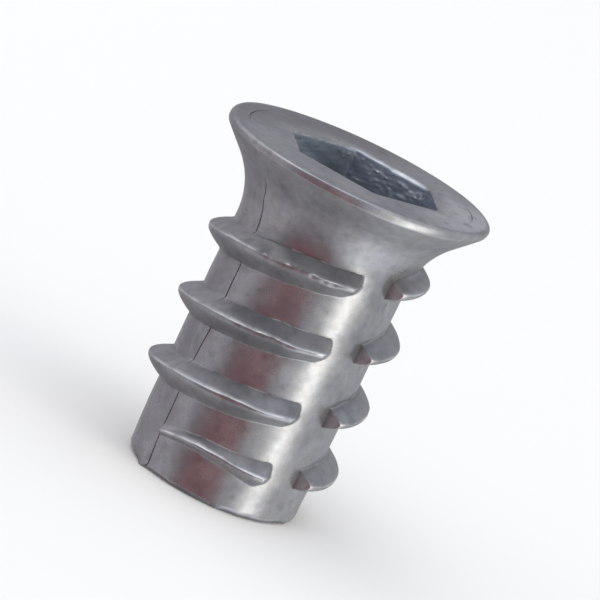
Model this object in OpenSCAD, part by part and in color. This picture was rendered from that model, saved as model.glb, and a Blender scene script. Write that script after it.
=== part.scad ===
// Flanged threaded insert for wood and chipboard, cast in one piece.
// A coarse rib round the shank bites into the pilot hole, a hex socket in the
// head takes the driving key, and the bore below it carries a metric thread.
// The two halves of the mould meet on the XZ plane and draw along Y.
// The part stands on its bottom end, with its axis on +Z.

/* [Body] */
// Overall length, from the bottom end to the top face
length = 20; // [16:0.5:30]
// Diameter of the head
head_d = 16; // [13:0.25:22]
// Height of the head's edge
rim_t = 0.4; // [0.3:0.05:0.8]
// Rounding on the two corners of that edge
rim_edge_r = 0.12; // [0.05:0.01:0.14]
// Radius of the hollow sweep from the shank to the head's cone
sweep_r = 5; // [3:0.25:7]
// Wall left outside the corners of the hex socket, which sets the shank
socket_wall = 0.52; // [0.4:0.02:1.5]
// Chamfer round the bottom end
end_chamfer = 0.3; // [0.1:0.05:0.5]

/* [Thread] */
// Nominal diameter of the internal thread
thread_d = 8; // [5:0.5:10]
// Pitch of the internal thread
thread_pitch = 1.25; // [0.7:0.05:1.5]
// How far the thread's entry chamfers open past its nominal radius
entry_over = 0.1; // [0:0.05:0.3]

/* [Hex socket] */
// How much wider the socket's flats are than the thread, so that a screw passes
hex_clear = 0.1; // [0.05:0.05:0.5]
// Depth of the socket
hex_depth = 6; // [4:0.25:8]
// Lead-in round the socket's mouth
hex_lead = 0.2; // [0.1:0.05:0.4]

/* [Rib] */
// Rise of the rib in one turn
rib_pitch = 4.06; // [3:0.02:5]
// Height of the rib above the shank
rib_h = 1.2; // [0.8:0.05:1.6]
// Width of the rib where it meets the shank
rib_root_w = 2.06; // [1.4:0.02:2.6]
// Width of the rib's rounded crest
rib_crest_w = 0.44; // [0.2:0.02:0.8]
// Height of the rib's centre line where it starts
rib_start_z = 1.7; // [1.2:0.05:3]
// Depth below the top face that the rib's upper end stays under
rib_top_clear = 4; // [3:0.25:8]
// Angle over which the rib grows to its full height
run_in = 75; // [30:5:120]
// How far the rib's low start lies above its centre line
run_in_lift = 0.55; // [0:0.05:0.8]
// Angle over which the rib fades out under the head
run_out = 50; // [20:5:90]

/* [Flutes] */
// Distance from a flute's middle to the square, cutting ends of the rib
flute_lead = 1.05; // [0.6:0.05:1.6]
// Distance from a flute's middle to the foot of the rib's sloping ends
flute_trail = 0.95; // [0.6:0.05:1.6]
// Slope of those ends against the flute's middle plane
flute_slope = 52; // [0:2:60]

/* [Hidden] */
$fn = 96;
eps = 0.01;

// Shank and head
hex_af = thread_d + hex_clear;
hex_r = hex_af / 2 / cos(30);
shank_r = hex_r + socket_wall;
head_r = head_d / 2;
head_overhang = head_r - shank_r;
// The sweep turns through 45 degrees, and is limited by the head's overhang
sweep = min(sweep_r, 0.98 * head_overhang / (1 - cos(45)));
sweep_z = length - rim_t - head_overhang - (sqrt(2) - 1) * sweep;
arc_steps = 12;
edge_steps = 4;

// Bore, at the crests of the internal thread
bore_r = (thread_d - 1.0825 * thread_pitch) / 2;
entry_r = thread_d / 2 + entry_over;
entry_h = entry_r - bore_r;
floor_z = length - hex_depth;
floor_cone_h = thread_d / 2 - bore_r;

// Rib
rib_sink = 0.6;
rib_step = 7.5;
rib_start_angle = 180;
rib_end_h = 0.12;
crest_r = shank_r + rib_h;
flank = (rib_root_w - rib_crest_w) / 2 / rib_h;
half_turns = floor(2 * (length - rib_top_clear - rib_start_z) / rib_pitch);
rib_angle = 180 * half_turns;
rib_sections = rib_angle / rib_step;

// Points on an arc, from angle a to angle b
function arc(x, y, r, a, b, n) =
    [for (i = [0:n]) [x + r * cos(a + (b - a) * i / n), y + r * sin(a + (b - a) * i / n)]];

// Share of its full height that the rib has at angle a along it
function rise(a) = rib_end_h + (1 - rib_end_h) * min(1, a / run_in);
function fade(a) = rib_end_h + (1 - rib_end_h) * min(1, (rib_angle - a) / run_out);
function share(a) = min(rise(a), fade(a));
function lift(a) = run_in_lift * pow(1 - rise(a), 2);

// Section of the rib at angle a: distance from the axis and height
function rib_section(a) =
    let (
        h = rib_h * share(a),
        z = rib_start_z + rib_pitch * a / 360 + lift(a),
        crest = rib_crest_w / 2,
        foot = crest + flank * (h + rib_sink),
        round_h = min(0.1, h / 3)
    )
    [
        [shank_r - rib_sink, z - foot],
        [shank_r + h - round_h, z - crest],
        [shank_r + h, z - crest / 2],
        [shank_r + h, z + crest / 2],
        [shank_r + h - round_h, z + crest],
        [shank_r - rib_sink, z + foot]
    ];

function on_helix(p, a) =
    [p[0] * cos(a + rib_start_angle), p[0] * sin(a + rib_start_angle), p[1]];

// Solid of revolution: shank, sweep, cone and rim
module blank() {
    rim_low = length - rim_t;
    rotate_extrude()
        polygon(concat(
            [[0, 0], [shank_r - end_chamfer, 0], [shank_r, end_chamfer]],
            arc(shank_r + sweep, sweep_z, sweep, 180, 135, arc_steps),
            arc(head_r - rim_edge_r, rim_low + rim_edge_r * tan(22.5), rim_edge_r, -45, 0, edge_steps),
            arc(head_r - rim_edge_r, length - rim_edge_r, rim_edge_r, 0, 90, edge_steps),
            [[0, length]]
        ));
}

// One polyhedron along the whole helix, sunk into the shank
module rib_helix() {
    corners = 6;
    points = [
        for (i = [0:rib_sections])
            for (p = rib_section(i * rib_step)) on_helix(p, i * rib_step)
    ];
    sides = [
        for (i = [0:rib_sections - 1])
            for (j = [0:corners - 1])
                let (a = i * corners + j, b = i * corners + (j + 1) % corners)
                    each [[a, b, b + corners], [a, b + corners, a + corners]]
    ];
    last = rib_sections * corners;
    ends = [
        [for (j = [corners - 1:-1:0]) j],
        [for (j = [0:corners - 1]) last + j]
    ];
    polyhedron(points, concat(sides, ends));
}

// What one flute takes out of the rib on the -Y side
module flute() {
    inner_y = -(shank_r - rib_sink - eps);
    foot_y = -sqrt(pow(shank_r, 2) - pow(flute_trail, 2));
    outer_y = -(crest_r + 1);
    slope_x = (foot_y - outer_y) * tan(flute_slope);
    linear_extrude(length)
        polygon([
            [flute_lead, inner_y],
            [-flute_trail, inner_y],
            [-flute_trail, foot_y],
            [-flute_trail - slope_x, outer_y],
            [flute_lead, outer_y]
        ]);
}

module rib() {
    difference() {
        rib_helix();
        for (a = [0, 180])
            rotate(a) flute();
    }
}

// Hex socket with its lead-in
module socket() {
    lead_out = hex_lead / cos(30);
    translate([0, 0, floor_z])
        cylinder(h = hex_depth + eps, r = hex_r, $fn = 6);
    translate([0, 0, length - hex_lead])
        cylinder(h = 2 * hex_lead, r1 = hex_r, r2 = hex_r + 2 * lead_out, $fn = 6);
}

// Bore of the thread, with a cone at each end
module thread_bore() {
    translate([0, 0, -eps])
        cylinder(h = floor_z + 2 * eps, r = bore_r);
    translate([0, 0, -eps])
        cylinder(h = entry_h + eps, r1 = entry_r + eps, r2 = bore_r);
    translate([0, 0, floor_z - floor_cone_h])
        cylinder(h = floor_cone_h + eps, r1 = bore_r, r2 = thread_d / 2 + eps);
}

module insert() {
    color([0.53, 0.53, 0.55])
        difference() {
            union() {
                blank();
                rib();
            }
            socket();
            thread_bore();
        }
}

insert();
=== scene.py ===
"""Looks of the cast threaded insert: one closed mesh for its CAD node, zinc, surroundings and camera."""

import bpy
import numpy as np
from mathutils import Matrix, Vector


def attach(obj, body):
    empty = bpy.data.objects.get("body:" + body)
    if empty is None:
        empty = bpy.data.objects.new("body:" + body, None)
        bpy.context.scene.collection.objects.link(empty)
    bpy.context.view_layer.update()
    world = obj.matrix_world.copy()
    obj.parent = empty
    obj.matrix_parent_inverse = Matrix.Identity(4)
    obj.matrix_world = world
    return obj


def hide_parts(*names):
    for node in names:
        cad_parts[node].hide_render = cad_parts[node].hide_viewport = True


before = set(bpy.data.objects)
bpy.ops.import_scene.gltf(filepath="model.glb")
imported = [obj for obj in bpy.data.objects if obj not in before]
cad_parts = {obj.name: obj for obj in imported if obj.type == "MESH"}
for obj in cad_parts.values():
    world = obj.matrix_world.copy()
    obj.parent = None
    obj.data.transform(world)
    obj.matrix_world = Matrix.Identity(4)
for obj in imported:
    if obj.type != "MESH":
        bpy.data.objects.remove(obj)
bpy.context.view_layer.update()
MM = 0.001

# GEOMETRY
# Lengths are millimetres and angles are degrees here. phi is the angle round the axis from the rib's
# start, on the parting line at -X, and psi is the same angle from the camera, to the viewer's right.
# Turn k of the rib is the one that passes phi 0 after k whole turns.
HEAD_R = 8.0
FACE_Z = 20.0
SHANK_R = 5.2
CAMERA_PHI = 46.0
FLUTES = (90.0, 270.0)
PARTING_LINES = (0.0, 180.5)
# Rib: rise in a turn, height at its start, number of turns begun, and where it ends
LEAD = 4.06
RIB_Z = 1.7
TURNS = 4
RIB_END = 1260.0
# Angle from a flute's middle to the rib's square, cutting ends, and the mould's draft on them
CUT = 11.55
DRAFT = np.tan(np.radians(16))
# Hollow sweep under the head: radius, height of its start, and rise, as it turns through 45 degrees
SWEEP_R = 5.0
SWEEP_Z = 14.73
SWEEP_RISE = SWEEP_R * 0.70711
# Outer wall: where its last column meets its first, its lowest and highest rows, and the distance
# from a crest over which rows follow it
SEAM = -4.0
WALL_LOW = 0.3
WALL_HIGH = 19.2
FOLLOW = 1.34
# Middle height of the rows that follow the rib on past its end, and how far they rise up to the seam
PAST_END_Z = 15.91
PAST_END_RISE = 0.75
# Hex socket: half its width across flats, radius of its corners, its turn, its middle and its floor
HEX_APOTHEM = 4.05
HEX_CORNER = 0.22
HEX_TURN = -2.5
SOCKET_X = 0.03
SOCKET_Y = -0.37
SOCKET_Z = 14.0
# Internal thread and the cones at its ends
THREAD_PITCH = 1.25
THREAD_MINOR_R = 3.3234
THREAD_MAJOR_R = 4.0
ENTRY_R = 4.1
# Bottom end: radius of its flat, and radius and height of its chipped edge
END_FLAT_R = 4.83
END_EDGE_R = 5.0
END_EDGE_Z = 0.11


def smin(a, b, k):
    """Smaller of a and b, with a rounding about k wide where they cross."""
    h = np.clip(0.5 + 0.5 * (b - a) / k, 0, 1)
    return b + (a - b) * h - k * h * (1 - h)


def smax(a, b, k):
    return -smin(-a, -b, k)


def ramp(x, a, b):
    """Smooth step from 0 at a to 1 at b."""
    t = np.clip((x - a) / (b - a), 0, 1)
    return t * t * (3 - 2 * t)


def bump(x, centre, width):
    return np.exp(-(((x - centre) / width) ** 2))


def lookup(x, table):
    xs, ys = zip(*table)
    return np.interp(x, xs, ys)


def wrap(a):
    """Angle from -180 to 180."""
    return (a + 180) % 360 - 180


def from_camera(phi):
    return wrap(phi - CAMERA_PHI)


def from_flute(phi):
    """Angle from the middle of the nearest flute, -90 to 90."""
    return phi % 180 - 90


def from_seam(t, turn=360):
    """The same angle, from SEAM to SEAM + turn."""
    return (t - SEAM) % turn + SEAM


def waves(seed, a, z, n, scale):
    """Smooth seeded unevenness, about -1 to 1, with bumps of about scale millimetres."""
    rng = np.random.default_rng(seed)
    total = np.zeros(np.broadcast(a, z).shape)
    for _ in range(n):
        turn = np.round(rng.normal() * 5.5 / scale)
        rise = rng.normal() * 1.1 / scale
        total = total + np.sin(np.radians(a) * turn + z * rise * 2 + rng.uniform(0, 6.28))
    return total / np.sqrt(n / 2) * 0.6


def rib_waves(seed, phi, k, n, scale):
    """Smooth seeded unevenness along the rib, which runs on from turn to turn."""
    return waves(seed, 0, 0.05 * (phi + 360 * k), n, scale)


def base_r(z):
    """Radius of the shank, the hollow sweep and the cone. The shank narrows a little at the bottom."""
    up = np.clip(z - SWEEP_Z, 0, SWEEP_RISE)
    sweep = SWEEP_R - np.sqrt(SWEEP_R**2 - up**2)
    cone = np.maximum(z - SWEEP_Z - SWEEP_RISE, 0)
    return SHANK_R + sweep + cone - 0.07 * ramp(3.2 - z, 0, 3.2)


def crest_z(phi, k):
    """Height of the rib's crest, which starts high above the helix and settles on it."""
    along = phi + 360 * k
    lift = lookup(along, [(0, 0.58), (20, 0.78), (29, 0.79), (47, 0.64), (66, 0.36), (80, 0.24), (120, 0)])
    return RIB_Z + LEAD * (k + phi / 360) + lift


def crest_wander(phi, k):
    """How far the crest strays up or down."""
    return 0.03 * rib_waves(25, phi, k, 10, 1.2) + 0.012 * rib_waves(35, phi, k, 12, 0.35)


# Dents and burrs in the crest: place along the rib and half width in degrees, depth
DENTS = [
    (1127.6, 1.0, 0.13), (1124.6, 1.3, -0.08), (1121.2, 0.9, 0.07), (1118.6, 0.8, -0.03), (1116, 1, 0.06),
    (1112, 1.4, 0.05), (1134, 1.3, 0.06), (1139, 2.2, 0.06), (745, 2.0, 0.06), (752, 1.4, -0.04),
    (757, 1.0, 0.07), (771, 2.5, 0.06), (396, 2.2, 0.06), (403, 1.1, 0.05), (411, 3, -0.03),
    (790, 2, 0.05), (735, 1.2, 0.05), (1103, 1.2, 0.05),
]


def crest_wear(phi, k):
    """How far the crest is worn down, dents included."""
    along = phi + 360 * k
    marks = 0.03 + 0.022 * rib_waves(5, phi, k, 14, 0.8) + 0.018 * rib_waves(15, phi, k, 14, 0.3)
    for at, wide, deep in DENTS:
        marks = marks + deep * bump(along, at, wide)
    return marks


def flank_widths(phi, k):
    """How far the rib reaches above and below its crest. It is slimmer beside the flutes."""
    along = phi + 360 * k
    a = from_flute(phi)
    slim = 0.2 * bump(a, 11, 7) * (a > 0)
    wide = 0.82 + 0.16 * ramp(np.abs(a), 14, 55) - slim
    up = np.minimum(lookup(along, [(0, 0.42), (29, 0.56), (47, 0.62), (66, 0.74), (100, 1.1)]), wide)
    low = np.minimum(lookup(along, [(0, 0.12), (29, 0.3), (47, 0.42), (66, 0.7), (100, 1.1)]), wide - 0.08)
    return up, low


def shoulder(phi, k):
    """How far the crest's upper edge lies above its centre line."""
    places = [(0, 0.2), (44, 0.2), (56, 0.07), (80, 0.07), (110, 0.06), (150, 0.1), (180, 0.2)]
    return lookup(phi % 180, places) + 0.08 * ramp(phi + 360 * k, 1040, 1090)


def full_height(along):
    """Height of the rib before wear: it grows from its start and fades at its end."""
    growth = [(-1, 0), (0, 0.3), (19, 0.46), (29, 0.58), (47, 0.66), (66, 0.98), (76, 1.1), (100, 1.19)]
    fade = 0.1 + 0.9 * ramp(RIB_END - along, 0, 50)
    return lookup(along, growth) * fade * (along >= -0.3) * (along <= RIB_END + 0.5)


def rib_height(phi, z, k):
    """Height of turn k above the shank, its full height, and how far z is above its crest's upper edge."""
    high = full_height(phi + 360 * k)
    up, low = flank_widths(phi, k)
    a = from_flute(phi)
    d = z - crest_z(phi, k) - crest_wander(phi, k)
    edge = shoulder(phi, k) * np.minimum(1, high)
    # the upper flank bulges on the parts of the rib that follow a flute
    bulge = 1 + 0.6 * bump(a, 38, 22) * (a > 0)
    above = 1 - np.maximum(0, (d - edge) / (up - edge)) ** bulge - np.maximum(0, d - up)
    below = 1 - np.maximum(0, (edge - d) / (low + edge)) ** 1.5
    side = np.where(d > edge, above, below)
    worn = high - crest_wear(phi, k)
    rounding = np.where(d > edge, 0.09, 0.12) * np.minimum(1, high / 0.6) + 1e-3
    return smin(side * high, worn + 0 * side, rounding), high, d - edge


def flute_limit(phi, d):
    """How high the rib may stand at phi: its trailing ends slope, and its cutting ends are square."""
    limit = np.full(np.broadcast(phi, d).shape, 9.0)
    cut_wall = [(CUT, 0), (11.72, 0.88), (12.2, 0.95), (18, 1.2), (26, 1.6)]
    for middle in FLUTES:
        a = phi - middle
        foot = 11.0 + np.where(d > 0, 6.2, 12.0) * d**2
        trailing = (a > -34) & (a < CUT)
        cutting = (a >= CUT) & (a < 26)
        limit = np.where(trailing, np.minimum(limit, (-a - foot) * 0.142), limit)
        limit = np.where(cutting, lookup(a, cut_wall), limit)
    return limit


def line_shown(z, rib):
    """1 where a parting line is plain to see, and 0 on the rib and under the head."""
    return (1 - ramp(rib, 0.05, 0.3)) * (1 - ramp(z, 17.6, 18.3))


def parting(phi, z, rib):
    """Thin groove and slight step where the mould halves meet."""
    bare = 1 - ramp(rib, -0.2, 0.15)
    shown = line_shown(z, rib)
    uneven = 1 + 0.5 * waves(61, 0, z, 12, 0.8)
    total = np.zeros(np.broadcast(phi, z).shape)
    for at in PARTING_LINES:
        d = wrap(phi - at)
        total = total - 0.09 * np.maximum(0, 1 - np.abs(d) / 0.5) * shown * uneven
        total = total + 0.03 * np.where(d > 0, np.exp(-np.abs(d) / 3.0), 0) * shown * bare
    return total


def parting_dirt(phi, z, rib):
    """Dirt along the parting lines."""
    off = np.minimum(*[np.abs(wrap(phi - at)) for at in PARTING_LINES])
    patchy = np.clip(0.8 + 0.4 * waves(73, 0, z, 14, 0.6), 0, 1)
    return np.maximum(0, 1 - off / 0.6) * line_shown(z, rib) * patchy


def rib_highlight_and_wear(phi, z, k, h, d, whole):
    """How bright turn k is painted: a pale line along its crest, partly rubbed wear and partly painted
    highlight, a pale patch painted on the top turn, and a painted highlight on its cutting ends. whole is 0
    where a flute cuts it.
    """
    a = from_flute(phi)
    # the crest's painted highlight, partly rubbed wear, is strongest midway between the parting line and
    # the flute
    strong = 0.68 + 0.6 * bump(a, -62, 17) - 0.3 * bump(a, -40, 9)
    strong = strong + 0.4 * bump(a, -24, 8) - 0.3 * bump(a, 14, 12)
    strong = strong * (1 + 0.5 * rib_waves(71, phi, k, 12, 0.5)) * whole
    middle = 0.055
    band = bump(d, middle, np.where(d > middle, 0.052 + 0.05 * bump(a, -62, 18), 0.03))
    crest = np.where(h > 0.25, band * strong, 0)
    # a pale patch is painted on the upper flank of the top turn
    smear = 0.7 * bump(phi + 360 * k, 1097, 17) * ramp(d, 0.1, 0.2) * ramp(h, 0, 0.15)
    smear = smear * np.clip(0.8 + 0.5 * waves(85, phi, z, 20, 0.5), 0, 1.2)
    # the cutting ends are smooth, and a painted highlight makes their edges a little brighter
    ends = 0.35 * bump(a, CUT + 0.07, 0.12) * (h > -0.1)
    return np.maximum(np.maximum(crest, smear), ends)


def rib_root_shade(phi, k, high, d, whole):
    """Painted shade along the foot of the upper flank, where it meets the shank."""
    foot = flank_widths(phi, k)[0] - shoulder(phi, k)
    patchy = np.clip(0.5 + 0.8 * rib_waves(81, phi, k, 12, 0.7), 0, 1)
    return 0.4 * bump(d, foot, 0.06) * patchy * (high > 0.4) * whole


def outer_r(phi, z):
    """Radius of the outer wall, its painted highlights and wear, and its dirt and painted shade."""
    r = base_r(z)
    tallest = np.zeros_like(r)
    highlight_and_wear = np.zeros_like(r)
    dirt_and_shade = np.zeros_like(r)
    a = from_flute(phi)
    # the upper root's fillet is wide at the parting lines and past a flute
    root = 0.02 + 0.2 * bump(a, 38, 22) * (a > 0) + 0.25 * bump(a, 90, 14) + 0.25 * bump(a, -90, 10)
    for k in range(TURNS):
        h, high, d = rib_height(phi, z, k)
        cut = smin(h, flute_limit(phi, d), 0.18)
        whole = 1 - ramp(h - cut, 0.08, 0.3)
        h = np.where(high > 0.01, cut, -0.5)
        tallest = np.maximum(tallest, h)
        r = smax(r, SHANK_R + h, np.where(d > 0, root, 0.2))
        highlight_and_wear = np.maximum(highlight_and_wear, rib_highlight_and_wear(phi, z, k, h, d, whole))
        dirt_and_shade = np.maximum(dirt_and_shade, rib_root_shade(phi, k, high, d, whole))
    r = r + parting(phi, z, tallest)
    # slight unevenness of a cast surface
    r = r + 0.017 * waves(1, phi, z, 24, 2.4) + 0.008 * waves(2, phi, z, 24, 1.0)
    return r, np.clip(highlight_and_wear, 0, 1), np.maximum(dirt_and_shade, parting_dirt(phi, z, tallest))


def columns():
    """Angles of the wall's columns, close together at the parting lines and at the rib's cutting ends."""
    half_line = np.array([0.22, 0.45, 0.7, 1.0, 1.4])
    cutting_end = np.array([10.7, 11.1, 11.35, 11.5, 11.58, 11.62, 11.66, 11.72, 11.9, 12.2, 12.7, 13.4])
    stretches = [
        SEAM + 0.8 * np.arange(3), -half_line[::-1], [0], half_line,
        np.linspace(2.2, 66, 58), np.linspace(66.6, 83, 28), np.linspace(84, 100, 16),
        FLUTES[0] + cutting_end, np.linspace(104.6, 178.5, 56),
        PARTING_LINES[1] + np.array([-1.4, -0.8, -0.45, 0, 0.45, 0.8, 1.4]),
        np.linspace(183.5, 246, 35), np.linspace(246.8, 263, 21), np.linspace(264.2, 280, 13),
        FLUTES[1] + cutting_end, np.linspace(285, 320, 20), np.linspace(321.1, 355, 32),
    ]
    return np.concatenate(stretches)


# Shares of the rib's reach above and below its crest at which rows lie
UP = np.array([
    0.05, 0.1, 0.15, 0.19, 0.23, 0.27, 0.33, 0.43, 0.56, 0.72, 0.86, 0.94, 0.98, 1.02, 1.06, 1.16,
])
DOWN = np.array([0.07, 0.15, 0.27, 0.4, 0.54, 0.67, 0.78, 0.87, 0.94, 1.0, 1.06, 1.13, 1.22])


def beside(share, reach, end):
    """Distances of the rows on one side of a crest."""
    near = share * reach
    return np.concatenate([near, np.linspace(near[-1], end, 4)[1:]])


def rows(phi):
    """Heights of the wall's rows at phi. They follow the rib's turns."""
    crests = [crest_z(phi, k) for k in range(TURNS)]
    reach = [flank_widths(phi, k) for k in range(TURNS)]
    top = FOLLOW
    if phi > 180:
        # past the rib's end the rows go on as if it ran on, rising less
        crests[-1] = PAST_END_Z + PAST_END_RISE * (phi - 180) / (180 + SEAM)
        top = FOLLOW * min(1, (WALL_HIGH - crests[-1]) / 2.6)
        reach[-1] = (0.75 * top, 0.74)
    z = list(np.linspace(WALL_LOW, crests[0] - FOLLOW, 9)[:-1])
    for k in range(TURNS):
        up, low = reach[k]
        z += list(crests[k] - beside(DOWN, low, FOLLOW)[::-1])
        z.append(crests[k])
        z += list(crests[k] + beside(UP, up, top if k == TURNS - 1 else FOLLOW))
        if k < TURNS - 1:
            z += list(np.linspace(crests[k] + FOLLOW, crests[k + 1] - FOLLOW, 5)[1:-1])
    z += list(np.linspace(crests[-1] + top, WALL_HIGH, 19)[1:])
    return np.array(z)


class Mesh:
    """Points with their painted highlights and wear, and their dirt and painted shade, joined row by row.
    """

    def __init__(self):
        self.points = []
        self.marks = []
        self.faces = []
        self.count = 0

    def ring(self, xyz, highlight_and_wear=0.0, dirt_and_shade=0.0):
        """Adds points and returns their numbers."""
        xyz = np.asarray(xyz, float).reshape(-1, 3)
        none = np.zeros(len(xyz))
        self.points.append(xyz)
        self.marks.append(np.stack([highlight_and_wear + none, dirt_and_shade + none], -1))
        self.count += len(xyz)
        return np.arange(self.count - len(xyz), self.count)

    def quads(self, a, b, closed=True):
        """Faces between two rows of as many points, b to the left of a as seen from outside."""
        i = np.arange(len(a) if closed else len(a) - 1)
        j = (i + 1) % len(a)
        self.faces += [list(q) for q in zip(a[i], a[j], b[j], b[i])]

    def next_ring(self, last, xyz, highlight_and_wear=0.0, dirt_and_shade=0.0):
        """Adds a ring and joins it to the last one, which has as many points."""
        ring = self.ring(xyz, highlight_and_wear, dirt_and_shade)
        self.quads(last, ring)
        return ring

    def stitch(self, a, ta, b, tb, closed=False):
        """Triangles between two rows of different points, by their positions ta and tb."""
        a, b, ta, tb = list(a), list(b), list(ta), list(tb)
        if closed:
            a, b = a + a[:1], b + b[:1]
            ta, tb = ta + [ta[0] + 360], tb + [tb[0] + 360]
        i = j = 0
        while i < len(a) - 1 or j < len(b) - 1:
            if j == len(b) - 1 or (i < len(a) - 1 and ta[i + 1] <= tb[j + 1]):
                self.faces.append([a[i], a[i + 1], b[j]])
                i += 1
            else:
                self.faces.append([a[i], b[j + 1], b[j]])
                j += 1


def around(phi, r, z):
    """Points at phi, radius r and height z."""
    a = np.radians(phi + 180)
    return np.stack(np.broadcast_arrays(r * np.cos(a), r * np.sin(a), z), -1)


# How far the parting lines wander: height, angle
WANDER = [
    (0, 1.7), (1, 0.9), (2, 0), (4, 0.2), (7, -0.6), (9, 1.3), (12.5, 1.0), (15.5, 0.7), (16.8, -0.3),
    (17.7, 2.4),
]


def draw_shift(phi, r, z):
    """Angle of a column at radius r. Cutting ends are square to the draw, and parting lines wander."""
    out = phi + 0 * r
    for middle in FLUTES:
        a = phi - middle
        squared = ramp(a, 8, 11) * (1 - ramp(a, 12.4, 34))
        across = SHANK_R * np.sin(np.radians(a)) + (r - SHANK_R) * DRAFT
        straight = np.degrees(np.arcsin(np.clip(across / r, -1, 1)))
        out = np.where(np.abs(a) < 40, phi + (straight - a) * squared, out)
    front, back = [wrap(phi - at) for at in PARTING_LINES]
    return out + lookup(z, WANDER) * (bump(front, 0, 8) + 0.8 * bump(back, 0, 8))


def outer_wall(m, phi):
    """Shank, rib, sweep and cone. Returns the lowest and highest rings."""
    grid, heights = [], []
    for angle in phi:
        z = rows(angle)
        r, highlight_and_wear, dirt_and_shade = outer_r(angle, z)
        grid.append(m.ring(around(draw_shift(angle, r, z), r, z), highlight_and_wear, dirt_and_shade))
        heights.append(z)
    for left, right in zip(grid, grid[1:]):
        m.quads(right, left, closed=False)
    m.stitch(grid[0], heights[0], grid[-1], heights[-1])
    return np.array([column[0] for column in grid]), np.array([column[-1] for column in grid])


def rim_rings(phi):
    """Rings of the rim as (r, z), from the cone's end up to the face."""
    psi = from_camera(phi)
    side = np.sin(np.radians(psi))
    toward = np.cos(np.radians(psi))
    # the rim is worn at the viewer's left and right, and blunt at the front
    left = ramp(-side, 0.1, 1.0) * ramp(toward, -0.6, 0.1)
    worn = ramp(psi, 2, 24) * (1 - ramp(psi, 100, 140))
    blunt = bump(psi, 28, 27)
    r = HEAD_R - 0.02 - 0.07 * left - 0.17 * blunt + 0.006 * waves(3, phi, 0, 12, 1.5)
    r = np.minimum(r, HEAD_R - 0.01)
    top = 0.085 + 0.22 * left + 0.14 * worn + 0.1 * blunt
    thick = 0.22 + 0.14 * left + 0.12 * ramp(toward, 0.4, 0.9) + 0.17 * blunt
    # the lower rounding meets the cone without a step
    low = np.maximum(base_r(FACE_Z - thick) - r, 0.01) / (np.sqrt(2) - 1)
    steps = (0, 0.2, 0.4, 0.6, 0.8, 1)
    rings = []
    for b in [np.radians(-45 + 45 * t) for t in steps]:
        rings.append((r - low * (1 - np.cos(b)), FACE_Z - thick + low * np.sin(b)))
    for b in [np.radians(90 * t) for t in steps]:
        rings.append((r - top * (1 - np.cos(b)), FACE_Z - 0.012 - top * (1 - np.sin(b))))
    return rings


# Rings of the face: radius, height from the face, and 1 on the floor of its groove
FACE_RINGS = [
    (7.6, -0.008, 0), (7.2, -0.003, 0), (6.88, 0, 0), (6.845, 0, 0), (6.82, 0, 1), (6.79, 0, 1),
    (6.765, 0, 0), (6.7, 0, 0), (6.4, 0, 0), (6.0, 0, 0), (5.7, 0, 0),
]


def head(m, phi, last):
    """Rim and face. Returns the innermost ring."""
    psi = from_camera(phi)
    # the rim's top edge at the front left gets a painted highlight, partly rubbed wear
    gleam_and_wear = ramp(psi, -100, -70) * (1 - ramp(psi, -30, 0)) * (0.3 + 0.25 * waves(75, phi, 0, 12, 0.8))
    rings = rim_rings(phi)
    for i, (r, z) in enumerate(rings):
        edge = 8 <= i <= 9
        last = m.next_ring(last, around(phi, r, z), 1.2 * gleam_and_wear * edge)
    inner_r = rings[-1][0] - 0.04
    # a fine groove shows on two stretches, and its floor is painted darker; painted shade darkens the far
    # left of the face and a painted sheen lightens the right
    groove = 0.004 + 0.07 * bump(wrap(phi + 60), 0, 26) + 0.06 * bump(wrap(phi - 150), 0, 16)
    painted_face_shade = 0.4 * (1 - ramp(np.abs(wrap(psi + 145)), 25, 95))
    painted_sheen = 0.46 * ramp(psi, 30, 65) * (1 - ramp(psi, 100, 140))
    for r, dz, floor in FACE_RINGS:
        xyz = around(phi, np.minimum(r, inner_r), FACE_Z + dz - floor * groove)
        last = m.next_ring(last, xyz, painted_sheen, np.maximum(painted_face_shade, floor * 10 * groove))
    return last


# Points on a side of the hexagon, and angles of the points between the ends of a corner
SIDE_POINTS = 44
CORNER_ANGLES = (10, 20, 30, 40, 50)


def hex_outline():
    """Angles and outline of the hexagon with rounded corners, both from the seam on.

    A row of the outline is a point HEX_CORNER inside it and the way out from there: x, y, x, y.
    """
    inner = HEX_APOTHEM - HEX_CORNER
    half = inner * np.tan(np.radians(30))
    outline = []
    for side in range(6):
        middle = HEX_TURN + 30 + 60 * side
        b = np.radians(middle)
        normal = np.array([np.cos(b), np.sin(b)])
        along = np.array([-np.sin(b), np.cos(b)])
        for s in np.linspace(-half, half, SIDE_POINTS):
            outline.append((*(normal * inner + along * s), *normal))
        for turn in CORNER_ANGLES:
            d = np.radians(middle + turn)
            outline.append((*(normal * inner + along * half), np.cos(d), np.sin(d)))
    outline = np.array(outline)
    x, y = (outline[:, :2] + HEX_CORNER * outline[:, 2:]).T
    t = np.degrees(np.arctan2(y, x))
    start = int(np.argmin(np.abs(wrap(t - SEAM))))
    t = np.unwrap(np.roll(t, -start), period=360)
    t = t - 360 * np.round((t[0] - SEAM) / 360)
    return t, np.roll(outline, -start, axis=0)


def end_wall(t):
    """1 on the two walls of the socket whose edges are sharp, 0 on the others."""
    a = from_seam(t, 180)
    return ramp(a, 118.5, 120) * (1 - ramp(a, 174.5, 176))


def lip_depth(t):
    """How far the rounding reaches down the socket's walls. One edge has a kink where it gets deeper."""
    a = from_seam(t)
    deep = 0.13 + 0.025 * waves(41, t, 0, 12, 0.6)
    kink = lookup(a, [(177, 0), (178, 0.04), (204, 0.07), (206, 0.1), (207.5, 0.0)]) * (a > 177)
    sharp = np.maximum(end_wall(t), ramp(a, 243, 250) * (1 - ramp(a, 296, 298)))
    return (deep + kink) * (1 - 0.75 * sharp)


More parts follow.
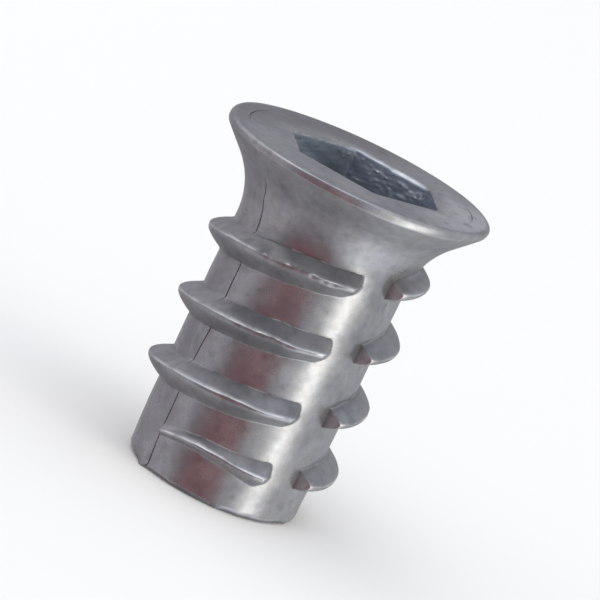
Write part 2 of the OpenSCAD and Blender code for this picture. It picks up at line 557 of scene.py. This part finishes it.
def lip_highlight(t):
    """Painted highlight along a stretch of the socket's mouth, broken up to the left of the kink."""
    a = from_seam(t)
    broken = np.clip(0.4 + 0.7 * waves(77, t, 0, 12, 0.25), 0, 1)
    gleam_and_wear = np.where(a < 206, 0.5 + 0.35 * broken, 0.4 * broken + 0.6 * bump(a, 219, 12))
    return gleam_and_wear * ramp(a, 176, 186) * (1 - ramp(a, 236, 256))


# Lumps on the socket's walls: angle, height, half widths in degrees and millimetres, how far they stand out
LUMPS = [
    (247.6, 19.56, 0.8, 0.07, 0.06), (242, 19.58, 1.2, 0.05, 0.07), (246, 19.36, 0.8, 0.06, 0.05),
    (237, 19.62, 1, 0.05, 0.05), (231, 19.62, 1.1, 0.06, 0.07), (224, 19.52, 0.9, 0.05, 0.06),
    (217, 19.4, 1.2, 0.08, 0.08), (218.8, 18.75, 0.9, 0.07, 0.06), (213.9, 18.94, 1.1, 0.05, 0.07),
    (212, 19.2, 1.5, 0.05, 0.06), (208, 19.32, 1.2, 0.04, 0.06), (203, 19.1, 1.1, 0.05, 0.05),
    (202.1, 18.84, 0.8, 0.09, 0.12), (200.8, 18.7, 0.7, 0.14, 0.1), (199, 18.5, 0.8, 0.16, 0.1),
    (198, 18.25, 1, 0.14, 0.08), (196.7, 19.44, 1.1, 0.07, 0.07), (193.2, 19.44, 1.3, 0.09, 0.08),
    (190, 19.38, 1.1, 0.07, 0.07), (186, 19.3, 1.3, 0.06, 0.05), (181.5, 19.15, 1.5, 0.08, 0.08),
    (177.5, 19.2, 1.3, 0.1, 0.07), (183, 18.9, 1.0, 0.06, 0.06), (172, 19.2, 1.4, 0.06, 0.05),
    (194, 18.8, 1.2, 0.05, 0.05), (188, 18.7, 1.4, 0.06, 0.05), (208, 18.6, 1.1, 0.06, 0.05),
    (222, 19.05, 1.4, 0.05, 0.05),
]


def lumps(t, z):
    """Torn and crumpled metal on the socket's back wall, as a height above the wall."""
    a = from_seam(t)
    total = 0 * t
    for at, height, wide, tall, out in LUMPS:
        total = total + 0.7 * out * bump(a, at, wide) * bump(z, height, tall)
    veins = np.clip(1 - 2.5 * np.abs(waves(91, a, z, 16, 0.25)), 0, 1)
    torn = np.clip(0.1 + 1.5 * waves(94, a, z, 12, 0.5), 0, 1)
    where = ramp(a, 163, 172) * (1 - ramp(a, 228, 243)) * ramp(z, 18.0, 18.5) * (1 - ramp(z, 19.5, 19.7))
    return total + 0.04 * veins * torn * where


def hex_points(outline, grow, z, t):
    """Points of the socket at height z, moved out from its walls by grow."""
    z = z + 0 * t
    inward = 0.012 * waves(51, t, z, 20, 0.7) + 0.008 * waves(52, t, z, 30, 0.25) - 0.17 * end_wall(t)
    inward = inward + lumps(t, z)
    inward = inward * ramp(z, SOCKET_Z, SOCKET_Z + 1)
    inward = inward * np.where(inward > 0, ramp(FACE_Z - z, 0.02, 0.3), 1)
    reach = HEX_CORNER + grow * (1 - 0.75 * end_wall(t)) - inward
    x, y = outline[:, :2].T + outline[:, 2:].T * reach
    # phi is measured from -X, so the outline is turned by half a turn
    return np.stack([SOCKET_X - x, SOCKET_Y - y, z], -1)


# Rings of the socket's mouth: distance outside its walls, share of the lip's depth, further depth
LIP_END = 0.08
LIP_RINGS = [
    (0.36, 0, 0), (0.24, 0, 0), (0.2, 0.06, 0.015), (0.15, 0.25, 0), (0.05, 0.75, 0), (0.01, 0.95, 0.02),
    (0, 1, LIP_END),
]
# Depths of the rings of its walls below the mouth, close together where the metal is torn
WALL_DEPTHS = np.concatenate([np.linspace(0.07, 1.9, 28), np.linspace(2.2, 5.3, 8)])


def socket(m, phi, last):
    """Mouth and walls of the hex socket. Returns the lowest ring and its angles."""
    t, outline = hex_outline()
    deep = lip_depth(t)
    gleam_and_wear = lip_highlight(t)
    for k, (grow, share, drop) in enumerate(LIP_RINGS):
        ring = m.ring(hex_points(outline, grow, FACE_Z - share * deep - drop, t), gleam_and_wear * (1 <= k <= 4))
        if k == 0:
            m.stitch(last, phi, ring, t, closed=True)
        else:
            m.quads(last, ring)
        last = ring
    # painted shade darkens the wall at the viewer's left
    shade = 0.1 * ramp(from_seam(t), 238, 250) + 0.32 * bump(from_seam(t), 252, 22)
    for depth in WALL_DEPTHS:
        z = FACE_Z - deep - LIP_END - depth * (1 - (deep - 0.2) / 6)
        # painted glints brighten the lumps on the wall
        bright = np.clip(lumps(t, z) / 0.05, 0, 0.85)
        last = m.next_ring(last, hex_points(outline, 0, z, t), bright, shade)
    return m.next_ring(last, hex_points(outline, 0, SOCKET_Z, t)), t


def thread_r(share):
    """Radius at a share of the pitch. The crest's flat is a quarter of it, and the root's an eighth."""
    off = np.abs((share + 0.5) % 1 - 0.5)
    deep = np.clip((off - 1 / 8) / (7 / 16 - 1 / 8), 0, 1)
    return THREAD_MINOR_R + (THREAD_MAJOR_R - THREAD_MINOR_R) * deep


# Height where the thread's rows start, its turns, and shares of the pitch at which rows lie
THREAD_Z = 0.9
THREAD_TURNS = 9
THREAD_ROWS = np.array([0, 0.1, 0.135, 0.28, 0.42, 0.46, 0.5, 0.54, 0.58, 0.72, 0.865, 0.9])


def thread(m, angles):
    """Internal thread, with a cone at each end. Returns the lowest and highest rings."""
    grid, heights = [], []
    for a in angles:
        start = THREAD_Z + THREAD_PITCH * a / 360
        z = list(np.linspace(0, start, 9)[1:-1])
        for turn in range(THREAD_TURNS):
            z += list(start + THREAD_PITCH * (turn + THREAD_ROWS))
        z += list(np.linspace(start + THREAD_PITCH * THREAD_TURNS, SOCKET_Z, 17)[:-1])
        z = np.array(z)
        cones = np.maximum(ENTRY_R - z, THREAD_MAJOR_R - (SOCKET_Z - z))
        r = np.maximum(thread_r((z - start) / THREAD_PITCH), cones)
        grid.append(m.ring(around(a, r, z)))
        heights.append(z)
    for left, right in zip(grid, grid[1:]):
        m.quads(left, right, closed=False)
    m.stitch(grid[-1], heights[-1], grid[0], heights[0])
    return np.array([column[0] for column in grid]), np.array([column[-1] for column in grid])


def bore(m, last, t):
    """Floor of the socket and the bore. Returns the ring of the bore's mouth and its angles."""
    angles = np.arange(0, 360, 3.0)
    top = m.ring(around(angles, THREAD_MAJOR_R, SOCKET_Z))
    m.stitch(last, t, top, angles, closed=True)
    low, high = thread(m, angles)
    m.quads(top, high)
    return m.next_ring(low, around(angles, ENTRY_R, 0)), angles


def bottom_end(m, phi, low, mouth, angles):
    """Bottom face and its chipped chamfer, which a burr fills at the parting line."""
    burr = bump(wrap(phi + 4), 0, 5)
    chipped = np.clip(waves(97, phi, 0, 14, 0.5), -1, 1)
    # the bottom face and its chamfer are painted darker, as painted shade underneath
    flat = m.ring(around(phi, END_FLAT_R + 0.4 * burr, 0), 0, 0.6)
    m.stitch(mouth, angles, flat, phi, closed=True)
    r = END_EDGE_R + 0.06 * chipped + 0.24 * burr
    edge = m.next_ring(flat, around(phi, r, END_EDGE_Z - 0.07 * chipped), 0, 0.5)
    m.quads(edge, low)


def build():
    m = Mesh()
    phi = columns()
    low, last = outer_wall(m, phi)
    last = head(m, phi, last)
    last, t = socket(m, phi, last)
    mouth, angles = bore(m, last, t)
    bottom_end(m, phi, low, mouth, angles)
    return np.concatenate(m.points), m.faces, np.concatenate(m.marks)


points, faces, marks = build()


# OBJECT
def make_object():
    """The mesh, with its painted highlights and wear, and its dirt and painted shade, at each point."""
    mesh = bpy.data.meshes.new("insert_cast")
    mesh.from_pydata((points * MM).tolist(), [], [[int(i) for i in f] for f in faces])
    mesh.update()
    for i, name in enumerate(("highlight_and_wear", "dirt_and_shade")):
        layer = mesh.attributes.new(name, "FLOAT", "POINT")
        layer.data.foreach_set("value", marks[:, i].astype(np.float32))
    mesh.shade_smooth()
    mesh.set_sharp_from_angle(angle=np.radians(42))
    obj = bpy.data.objects.new("insert_cast", mesh)
    bpy.context.scene.collection.objects.link(obj)
    return obj


class Nodes:
    """Short-hand for building a node tree."""

    def __init__(self, tree):
        self.tree = tree
        tree.nodes.clear()

    def fill(self, node, links):
        """Links or sets a node's inputs."""
        for key, value in links.items():
            if isinstance(value, bpy.types.NodeSocket):
                self.tree.links.new(value, node.inputs[key])
            else:
                node.inputs[key].default_value = value

    def add(self, kind, links=None, **values):
        node = self.tree.nodes.new(kind)
        for key, value in values.items():
            setattr(node, key, value)
        self.fill(node, links or {})
        return node

    def math(self, operation, a, b=0.0):
        return self.add("ShaderNodeMath", {0: a, 1: b}, operation=operation).outputs[0]

    def plus(self, a, b):
        return self.math("ADD", a, b)

    def minus(self, a, b):
        return self.math("SUBTRACT", a, b)

    def times(self, a, b):
        return self.math("MULTIPLY", a, b)

    def square(self, value, width=1.0):
        """Square of a value in units of width."""
        x = self.math("DIVIDE", value, width)
        return self.times(x, x)

    def length(self, x, y):
        return self.math("SQRT", self.plus(self.times(x, x), self.times(y, y)))

    def fall(self, q):
        """1 where q is 0, falling away as q grows."""
        return self.math("EXPONENT", self.times(q, -1.0))

    def split(self, vector):
        return self.add("ShaderNodeSeparateXYZ", {0: vector}).outputs

    def mix(self, factor, a, b, blend="MIX"):
        node = self.add("ShaderNodeMix", data_type="RGBA", blend_type=blend)
        self.fill(node, {0: factor, 6: a, 7: b})
        return node.outputs[2]

    def noise(self, vector, scale, detail=2.0, rough=0.5):
        inputs = {"Vector": vector, "Scale": scale, "Detail": detail, "Roughness": rough}
        return self.add("ShaderNodeTexNoise", inputs).outputs[0]

    def map(self, value, a, b, c, d):
        """Straight line from c at a to d at b, level beyond them."""
        return self.add("ShaderNodeMapRange", {0: value, 1: a, 2: b, 3: c, 4: d}).outputs[0]

    def step(self, value, a, b):
        """Smooth step from 0 at a to 1 at b."""
        inputs = {0: value, 1: a, 2: b, 3: 0.0, 4: 1.0}
        return self.add("ShaderNodeMapRange", inputs, interpolation_type="SMOOTHSTEP").outputs[0]

    def between(self, value, a, b, c, d):
        """Rises from 0 at a to 1 at b, and falls from 1 at c to 0 at d."""
        return self.times(self.step(value, a, b), self.step(value, d, c))


BLACK = (0, 0, 0, 1)
WHITE = (1, 1, 1, 1)
# Shades of the metal, and of its dull patches
ZINC_DARK = (0.24, 0.24, 0.252, 1)
ZINC_PALE = (0.32, 0.317, 0.324, 1)
ZINC_DULL = (0.16, 0.16, 0.168, 1)
# Tints that they are multiplied by
ZINC_WARM = (1.015, 1, 0.98, 1)
ZINC_COOL = (0.985, 1, 1.02, 1)
# The socket's painted sky reflection, the pale of painted highlights and rubbed edges, and the dark of dirt
# and painted shade
SOCKET_SKY_TINT = (0.305, 0.35, 0.415, 1)
WEAR_AND_HIGHLIGHT = (0.64, 0.64, 0.64, 1)
GRIME_AND_SHADE = (0.04, 0.036, 0.04, 1)


def zinc():
    """Cast zinc alloy, cloudy and patchy, with painted highlights and rubbed wear, and with dirt and
    painted shade.
    """
    mat = bpy.data.materials.new("cast_zinc")
    mat.use_nodes = True
    n = Nodes(mat.node_tree)
    coords = n.add("ShaderNodeTexCoord").outputs
    place = coords["Object"]
    cloud = n.noise(place, 420.0, 3.0)
    patch = n.noise(place, 1300.0, 2.0)
    blotch = n.noise(place, 1900.0, 2.0)
    hue = n.noise(place, 1700.0, 2.0)
    grain = n.noise(place, 6500.0, 2.0, 0.6)
    x, y, z = n.split(place)
    inside = n.times(n.math("LESS_THAN", n.length(x, y), 5.08 * MM), n.math("LESS_THAN", z, 19.9 * MM))
    inside = n.times(inside, n.math("GREATER_THAN", z, 0.5 * MM))
    colour = n.mix(n.map(cloud, 0.35, 0.65, 0.0, 1.0), ZINC_DARK, ZINC_PALE)
    colour = n.mix(n.map(patch, 0.3, 0.42, 0.35, 0.0), colour, ZINC_DULL)
    darker = n.mix(0.1, colour, BLACK)
    paler = n.mix(0.04, colour, WHITE)
    colour = n.mix(n.map(blotch, 0.3, 0.7, 0.0, 1.0), darker, paler)
    tint = n.mix(n.map(hue, 0.35, 0.65, 0.0, 1.0), ZINC_WARM, ZINC_COOL)
    colour = n.mix(1.0, colour, tint, "MULTIPLY")
    # the socket is painted paler and bluer, a painted reflection of the sky and painted light reaching into
    # it
    colour = n.mix(n.times(inside, 0.9), colour, SOCKET_SKY_TINT)
    # painted highlights, partly rubbed wear, make places paler, and dirt and painted shade make places
    # darker
    gleam_and_wear = n.add("ShaderNodeAttribute", attribute_name="highlight_and_wear").outputs["Fac"]
    dirt_and_shade = n.add("ShaderNodeAttribute", attribute_name="dirt_and_shade").outputs["Fac"]
    gleam_and_wear = n.times(gleam_and_wear, n.map(patch, 0.32, 0.5, 0.35, 1.0))
    colour = n.mix(gleam_and_wear, colour, WEAR_AND_HIGHLIGHT)
    colour = n.mix(n.map(dirt_and_shade, 0.0, 0.8, 0.0, 0.75), colour, GRIME_AND_SHADE)
    # surfaces that look up or down are duller than upright ones, and the socket is the dullest
    slope = n.math("ABSOLUTE", n.split(coords["Normal"])[2])
    rough = n.plus(n.map(cloud, 0.3, 0.7, 0.22, 0.3), n.map(grain, 0.3, 0.7, -0.01, 0.01))
    rough = n.plus(rough, n.map(slope, 0.25, 0.75, 0.0, 0.16))
    rough = n.math("MAXIMUM", rough, n.times(inside, 0.5))
    height = n.plus(n.times(grain, 0.015), n.plus(n.times(patch, 0.35), n.times(cloud, 1.2)))
    relief = n.add("ShaderNodeBump", {"Strength": 0.5, "Distance": 0.02 * MM, "Height": height}).outputs[0]
    inputs = {"Base Color": colour, "Metallic": 0.8, "Roughness": rough, "Normal": relief}
    shader = n.add("ShaderNodeBsdfPrincipled", inputs)
    n.add("ShaderNodeOutputMaterial", {0: shader.outputs[0]})
    return mat


insert = make_object()
insert.data.materials.append(zinc())
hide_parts("insert")
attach(insert, "root")


# STAGE
# Angle of the camera from +X. Bearings are degrees from the camera to its right, seen from the part.
TOWARD_CAMERA = CAMERA_PHI - 180
FLOOR_COLOUR = (0.88, 0.855, 0.8, 1)
# Surroundings that the metal reflects
WALLS_LEFT = (0.745, 0.72, 0.775, 1)
WALLS_RIGHT = (0.79, 0.815, 0.855, 1)
CEILING = (0.65, 0.675, 0.74, 1)
SKYLIGHT = (0.89, 0.99, 1.14, 1)
DARK = (0.17, 0.17, 0.19, 1)
CARD = (0.225, 0.19, 0.23, 1)
CARD_RED = (0.4, 0.1, 0.105, 1)


def make_floor():
    """White floor that takes the part's shadow. Its glow is for the camera, and metal doesn't show it."""
    mesh = bpy.data.meshes.new("floor")
    s = 1.5
    z = -0.02 * MM
    mesh.from_pydata([(-s, -s, z), (s, -s, z), (s, s, z), (-s, s, z)], [], [(0, 1, 2, 3)])
    floor = bpy.data.objects.new("floor", mesh)
    bpy.context.scene.collection.objects.link(floor)
    mat = bpy.data.materials.new("pale_floor")
    mat.use_nodes = True
    n = Nodes(mat.node_tree)
    matt = n.add("ShaderNodeBsdfDiffuse", {"Color": FLOOR_COLOUR})
    camera_ray = n.add("ShaderNodeLightPath").outputs["Is Camera Ray"]
    glow = n.add("ShaderNodeEmission", {"Color": WHITE, "Strength": n.times(camera_ray, 0.03)})
    both = n.add("ShaderNodeAddShader", {0: matt.outputs[0], 1: glow.outputs[0]})
    n.add("ShaderNodeOutputMaterial", {0: both.outputs[0]})
    mesh.materials.append(mat)
    floor.visible_glossy = False
    floor.visible_shadow = False


def make_world():
    """What the metal reflects: pale surroundings, a dark reddish card near the camera, and soft lights."""
    world = bpy.data.worlds.new("studio")
    bpy.context.scene.world = world
    world.use_nodes = True
    n = Nodes(world.node_tree)
    way = n.add("ShaderNodeTexCoord").outputs["Generated"]
    x, y, z = n.split(way)
    up = n.times(n.math("ARCTAN2", z, n.length(x, y)), np.degrees(1))
    c = np.cos(np.radians(TOWARD_CAMERA))
    s = np.sin(np.radians(TOWARD_CAMERA))
    ahead = n.plus(n.times(x, c), n.times(y, s))
    right = n.plus(n.times(x, -s), n.times(y, c))
    bearing = n.times(n.math("ARCTAN2", right, ahead), np.degrees(1))
    # the edges of what stands round the part are uneven
    bearing = n.plus(bearing, n.map(n.noise(way, 2.6), 0.0, 1.0, -9.0, 9.0))
    up = n.plus(up, n.map(n.noise(way, 3.4), 0.0, 1.0, -9.0, 9.0))

    def glow(b, width, u, tall):
        """Soft spot at bearing b and elevation u."""
        return n.fall(n.plus(n.square(n.minus(bearing, b), width), n.square(n.minus(up, u), tall)))

    def away(b):
        """Angle from a bearing, either way round."""
        off = n.math("ABSOLUTE", n.minus(bearing, b))
        return n.minus(180.0, n.math("ABSOLUTE", n.minus(off, 180.0)))

    def add_light(colour, share, strength, tint):
        inputs = {0: tint, "Scale": n.times(share, strength)}
        light = n.add("ShaderNodeVectorMath", inputs, operation="SCALE")
        return n.mix(1.0, colour, light.outputs[0], "ADD")

    colour = n.mix(n.step(away(100.0), 100.0, 40.0), WALLS_LEFT, WALLS_RIGHT)
    colour = n.mix(n.step(up, 5.0, 60.0), colour, CEILING)
    colour = n.mix(n.step(up, 45.0, 75.0), colour, SKYLIGHT)
    # it is darker behind the part, both low down and higher up, and straight below it
    behind = n.times(n.step(away(-168.0), 76.0, 24.0), n.map(up, -10.0, -30.0, 0.44, 0.68))
    colour = n.mix(n.times(behind, n.step(up, 30.0, -8.0)), colour, DARK)
    facing = n.times(n.step(away(180.0), 50.0, 15.0), n.between(up, -10.0, 8.0, 40.0, 70.0))
    colour = n.mix(n.times(facing, 0.42), colour, DARK)
    colour = n.mix(n.times(n.step(up, -62.0, -80.0), 0.3), colour, DARK)
    # the dark card near the camera is red in its middle
    card = n.times(n.between(bearing, -64.0, -44.0, 12.0, 28.0), glow(-20, 200, -25, 52))
    colour = n.mix(n.times(card, 0.85), colour, CARD)
    red = n.times(n.between(bearing, -55.0, -24.0, 3.0, 23.0), glow(-9, 200, -22, 20))
    colour = n.mix(red, colour, CARD_RED)
    # the tall light at the right, with its own reflection below it
    height = n.plus(up, 14.0)
    q = n.plus(n.square(n.minus(bearing, 60.0), 13.5), n.square(n.math("MINIMUM", height, 0.0), 20.0))
    q = n.plus(q, n.square(n.math("MAXIMUM", height, 0.0), 45.0))
    colour = add_light(colour, n.fall(q), 4.0, (1, 0.99, 0.91))
    pool = n.times(n.between(bearing, 20.0, 42.0, 90.0, 140.0), n.between(up, -84.0, -68.0, -44.0, -26.0))
    colour = add_light(colour, pool, 1.0, (0.95, 1, 1.05))
    # a long light above, rising from the left to the front
    middle = n.map(bearing, -105.0, -25.0, 27.0, 47.0)
    strip = n.fall(n.square(n.minus(up, middle), 13.0))
    strip = n.times(strip, n.between(bearing, -136.0, -118.0, 10.0, 60.0))
    colour = add_light(colour, strip, 0.375, (1, 1, 1))
    # a faint warm light low at the left
    colour = add_light(colour, glow(-85, 24, -55, 14), 0.15, (1.05, 1, 0.9))
    # light from high in front, which the rib's upper flanks show by way of the shank
    colour = add_light(colour, glow(5, 75, 72, 17), 1.6, (0.95, 1, 1.12))
    seen = n.add("ShaderNodeBackground", {"Color": WHITE, "Strength": 1.0}).outputs[0]
    felt = n.add("ShaderNodeBackground", {"Color": colour, "Strength": 1.0}).outputs[0]
    camera_ray = n.add("ShaderNodeLightPath").outputs["Is Camera Ray"]
    both = n.add("ShaderNodeMixShader", {0: camera_ray, 1: felt, 2: seen})
    n.add("ShaderNodeOutputWorld", {0: both.outputs[0]})


def make_lamp(name, bearing, elevation, distance, width, length, twist, radiance):
    """A soft strip lamp aimed at the part. Lengths are metres."""
    lamp = bpy.data.lights.new(name, "AREA")
    lamp.shape = "RECTANGLE"
    lamp.size = width
    lamp.size_y = length
    lamp.energy = radiance * np.pi * width * length
    obj = bpy.data.objects.new(name, lamp)
    b = np.radians(bearing + TOWARD_CAMERA)
    e = np.radians(elevation)
    way = Vector((np.cos(b) * np.cos(e), np.sin(b) * np.cos(e), np.sin(e)))
    turn = way.to_track_quat("Z", "Y").to_matrix() @ Matrix.Rotation(np.radians(twist), 3, "Z")
    middle = Vector((0, 0, 10 * MM))
    obj.matrix_world = Matrix.Translation(middle + way * distance) @ turn.to_4x4()
    obj.visible_camera = False
    bpy.context.scene.collection.objects.link(obj)


def make_camera():
    """Camera as fitted to the photograph's outline."""
    azimuth = np.radians(TOWARD_CAMERA + 90)
    elevation = np.radians(13.07)
    roll = np.radians(25.6)
    distance = 260.5 * MM
    aim_right = 0.113 * MM
    aim = Vector((0, 0, 11.66 * MM))
    right = Vector((np.cos(azimuth), np.sin(azimuth), 0))
    flat = np.cos(elevation)
    back = Vector((np.sin(azimuth) * flat, -np.cos(azimuth) * flat, np.sin(elevation)))
    up = back.cross(right)
    x = right * np.cos(roll) + up * np.sin(roll)
    y = up * np.cos(roll) - right * np.sin(roll)
    pose = Matrix((x, y, back)).transposed().to_4x4()
    pose.translation = right * aim_right + aim + back * distance
    cam = bpy.data.cameras.new("camera")
    cam.lens = 279.5
    cam.sensor_width = 36.0
    cam.clip_start = 0.005
    obj = bpy.data.objects.new("camera", cam)
    obj.matrix_world = pose
    bpy.context.scene.collection.objects.link(obj)
    bpy.context.scene.camera = obj


make_floor()
make_world()
make_lamp(
    "strip_lamp", bearing=-122, elevation=63, distance=0.5, width=0.2, length=0.6, twist=-30, radiance=0.75
)
make_camera()
bpy.context.scene.view_settings.view_transform = "Standard"
